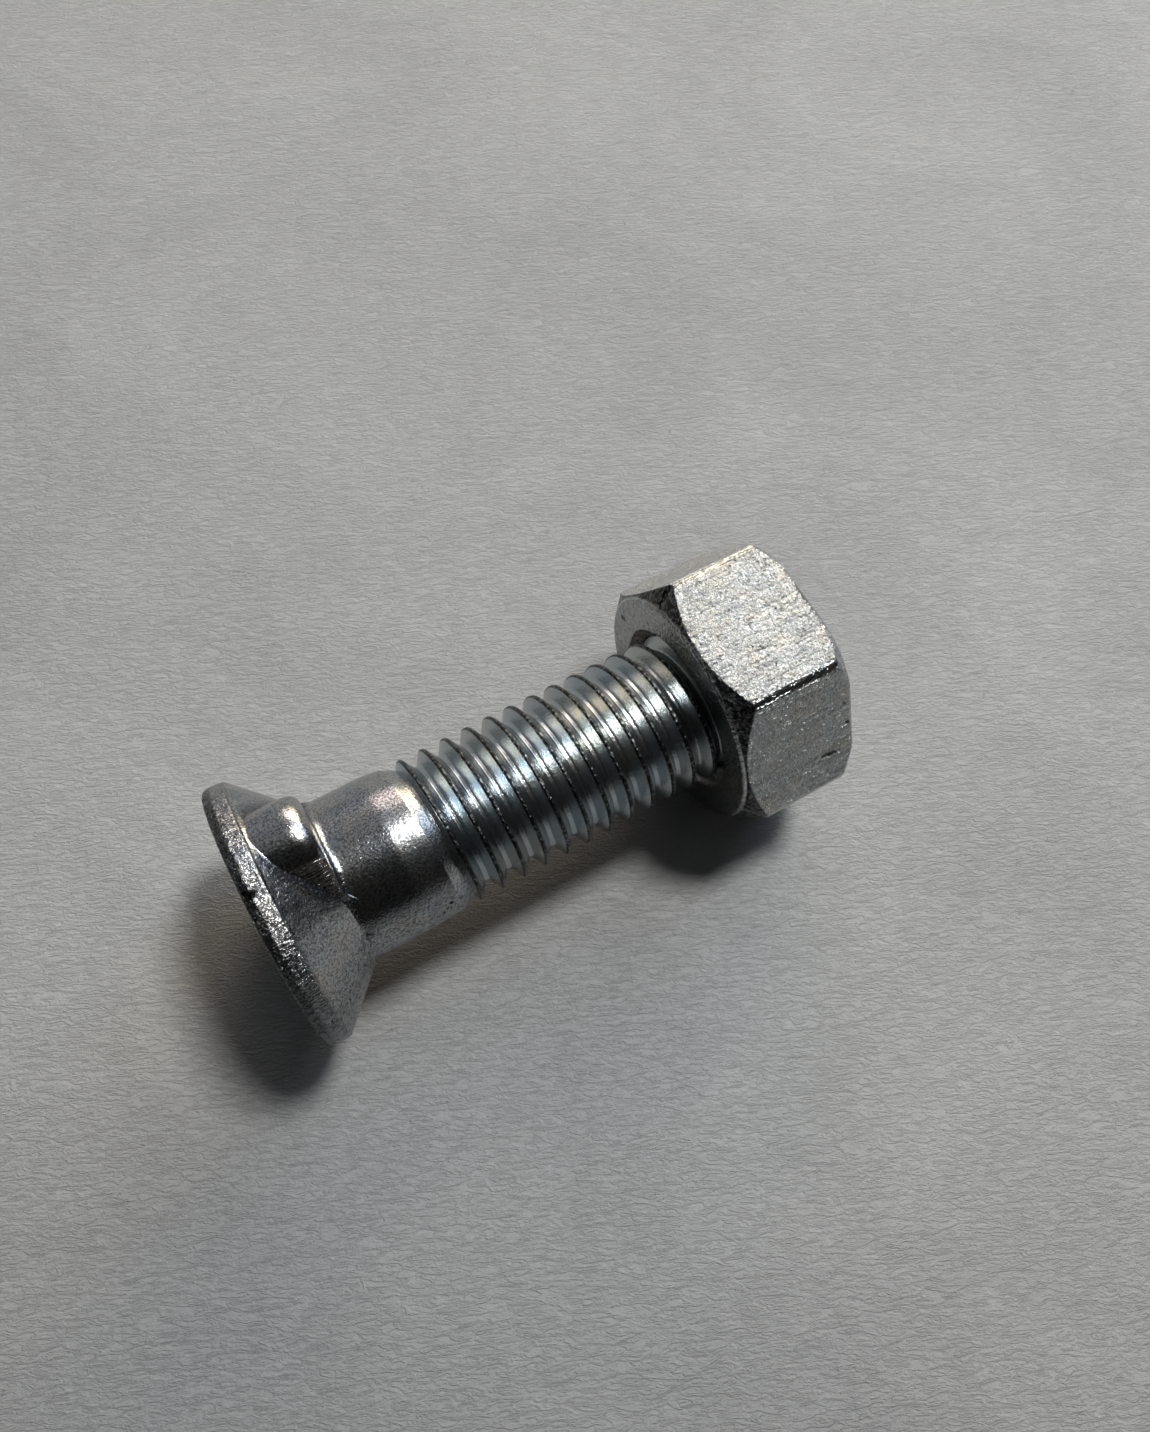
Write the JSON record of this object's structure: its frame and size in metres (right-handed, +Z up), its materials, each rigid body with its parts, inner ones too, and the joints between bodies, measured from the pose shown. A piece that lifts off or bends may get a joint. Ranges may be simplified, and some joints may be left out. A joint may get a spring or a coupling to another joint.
{
  "type": "plow bolt with nut",
  "caption": "Flat countersunk plow bolt with an anti-turn nib on its cone, a short plain shank, a rolled metric thread and a hex nut run up near its end.",
  "frame": {"origin": "centre of the footprint on the surface that the bolt lies on", "axes": "+Z up from that surface; +X from the head towards the nut, with the bolt axis about 0.9 degrees below +X; +Y across"},
  "size_m": [0.0364, 0.0182, 0.0168],
  "materials": {
    "bolt_zinc": "bright zinc plate over forged and rolled steel, with a faint blue and yellow passivation tint",
    "nut_zinc": "bright zinc plate over steel, faint brush lines along the flats"
  },
  "bodies": {
    "bolt": {"bolt": "bolt_zinc"},
    "nut": {"nut": "nut_zinc"}
  },
  "joints": [
    {"name": "nut_travel", "type": "slide", "parent": "bolt", "child": "nut", "axis": [0.9999, 0, -0.015], "range_m": [-0.0165, 0.0045]}
  ]
}
